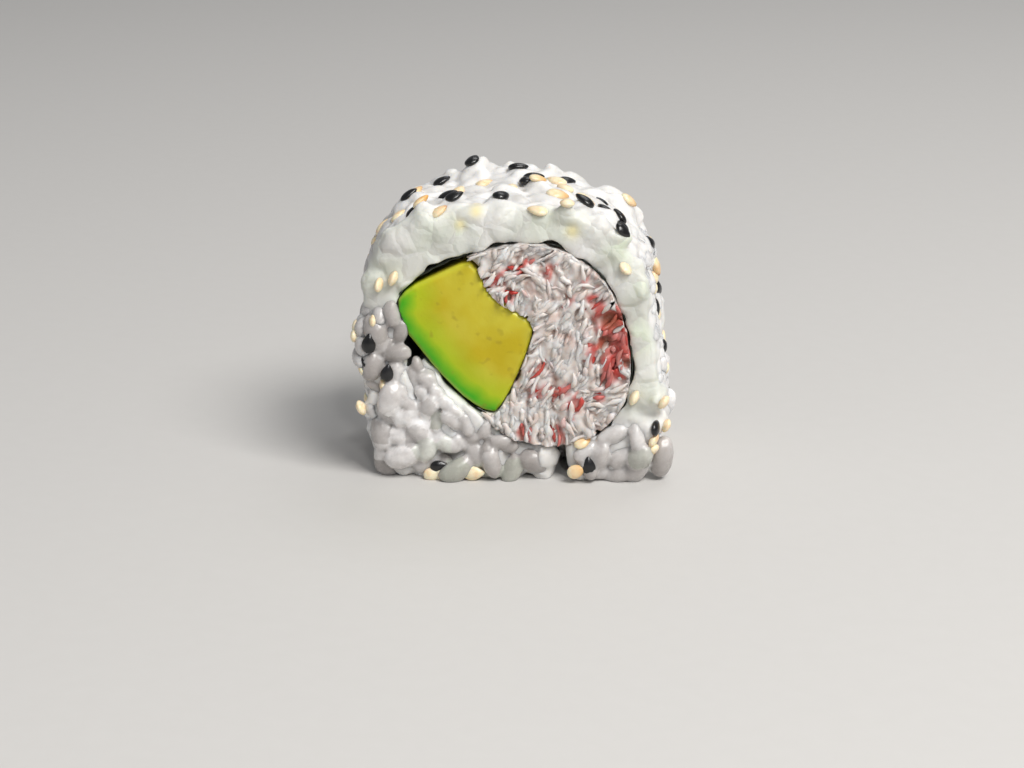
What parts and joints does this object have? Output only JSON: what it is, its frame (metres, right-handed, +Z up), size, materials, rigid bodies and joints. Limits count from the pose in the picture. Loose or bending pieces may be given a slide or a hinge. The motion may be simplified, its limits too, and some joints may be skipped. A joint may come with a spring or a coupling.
{
  "type": "uramaki roll",
  "caption": "One bite-size slice of inside-out sushi roll: sesame rice round a nori spiral, with avocado and shredded crab stick, lying on its side with a cut face forward.",
  "frame": {"origin": "centre of the flat base, midway between the two cut faces", "axes": "+Z up, +Y from the shown cut face to the back cut face along the roll's axis, +X to the right as the shown cut face is seen"},
  "size_m": [0.0473, 0.0274, 0.0438],
  "materials": {
    "cooked_rice": "moist, slightly translucent cooked rice grains with black and toasted sesame seeds",
    "nori": "thin damp dried-seaweed sheet, near black with a faint green sheen",
    "avocado_flesh": "smooth buttery flesh, mustard yellow running to vivid green at the skin side",
    "crab_stick": "moist shredded white fibres with red-dyed outer strands",
    "black_sesame": "hard glossy black seed coat",
    "toasted_sesame": "toasted seed coat, cream to amber"
  },
  "bodies": {
    "root": {"rice_with_sesame": "cooked_rice", "nori": "nori", "avocado": "avocado_flesh", "crab_shreds": "crab_stick"}
  },
  "joints": []
}
